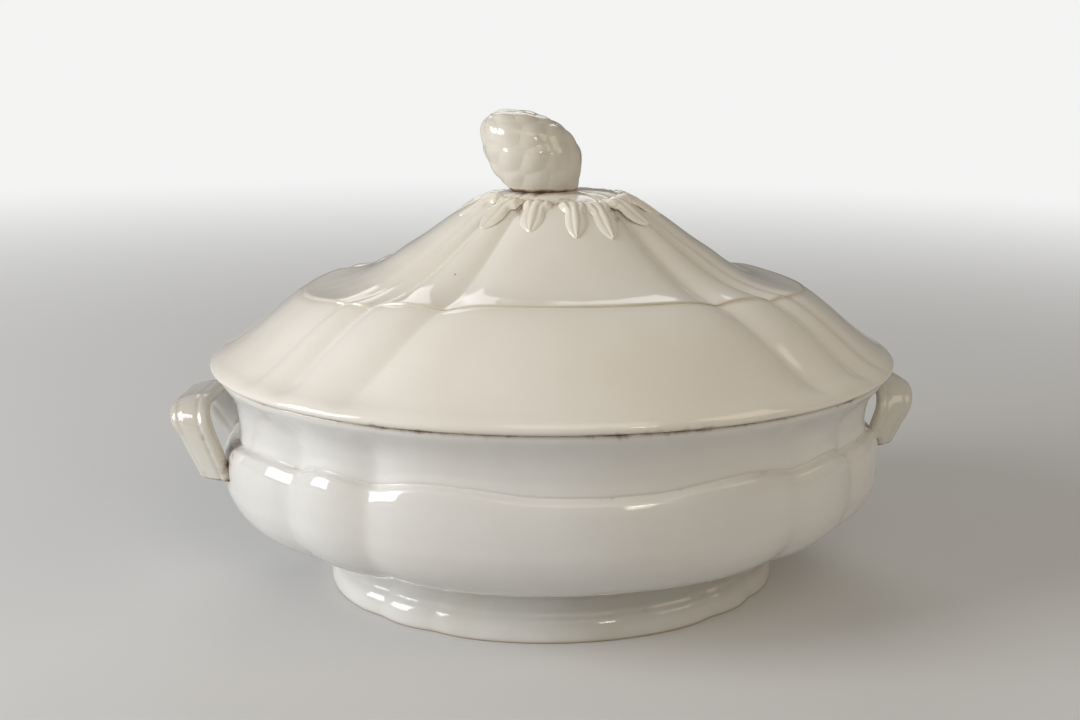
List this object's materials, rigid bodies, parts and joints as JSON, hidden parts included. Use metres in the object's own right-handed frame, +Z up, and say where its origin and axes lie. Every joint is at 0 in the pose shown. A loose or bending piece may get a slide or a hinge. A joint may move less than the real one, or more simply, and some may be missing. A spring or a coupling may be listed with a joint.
{
  "type": "soup tureen",
  "caption": "Covered oval tureen in glazed ironstone: lobed bowl on a spreading foot, strap handles, domed lid with a leaning bud knob and leaf wreath.",
  "frame": {"origin": "on the table, under the middle of the foot", "axes": "+X along the oval, +Y across it, +Z up"},
  "size_m": [0.3494, 0.2502, 0.221],
  "materials": {
    "bowl_glaze": "gloss glaze, cooler white",
    "foot_glaze": "gloss glaze, stained in the joint",
    "handle_glaze": "gloss glaze, tea-stained along the strap",
    "lid_glaze": "gloss glaze, warm cream",
    "knob_glaze": "gloss glaze over soft scales",
    "leaf_glaze": "gloss glaze pooled round the veins"
  },
  "bodies": {
    "tureen": {"bowl": "bowl_glaze", "foot": "foot_glaze", "handle_left": "handle_glaze", "handle_right": "handle_glaze"},
    "lid": {"lid_dome": "lid_glaze", "lid_verge": "lid_glaze", "knob": "knob_glaze", "leaf_01": "leaf_glaze", "leaf_02": "leaf_glaze", "leaf_03": "leaf_glaze", "leaf_04": "leaf_glaze", "leaf_05": "leaf_glaze", "leaf_06": "leaf_glaze", "leaf_07": "leaf_glaze", "leaf_08": "leaf_glaze", "leaf_09": "leaf_glaze", "leaf_10": "leaf_glaze", "leaf_11": "leaf_glaze", "leaf_12": "leaf_glaze", "leaf_13": "leaf_glaze", "leaf_14": "leaf_glaze"}
  },
  "joints": [
    {"name": "lid_lift", "type": "slide", "parent": "tureen", "child": "lid", "axis": [0, 0, 1], "range_m": [0, 0.12]}
  ]
}
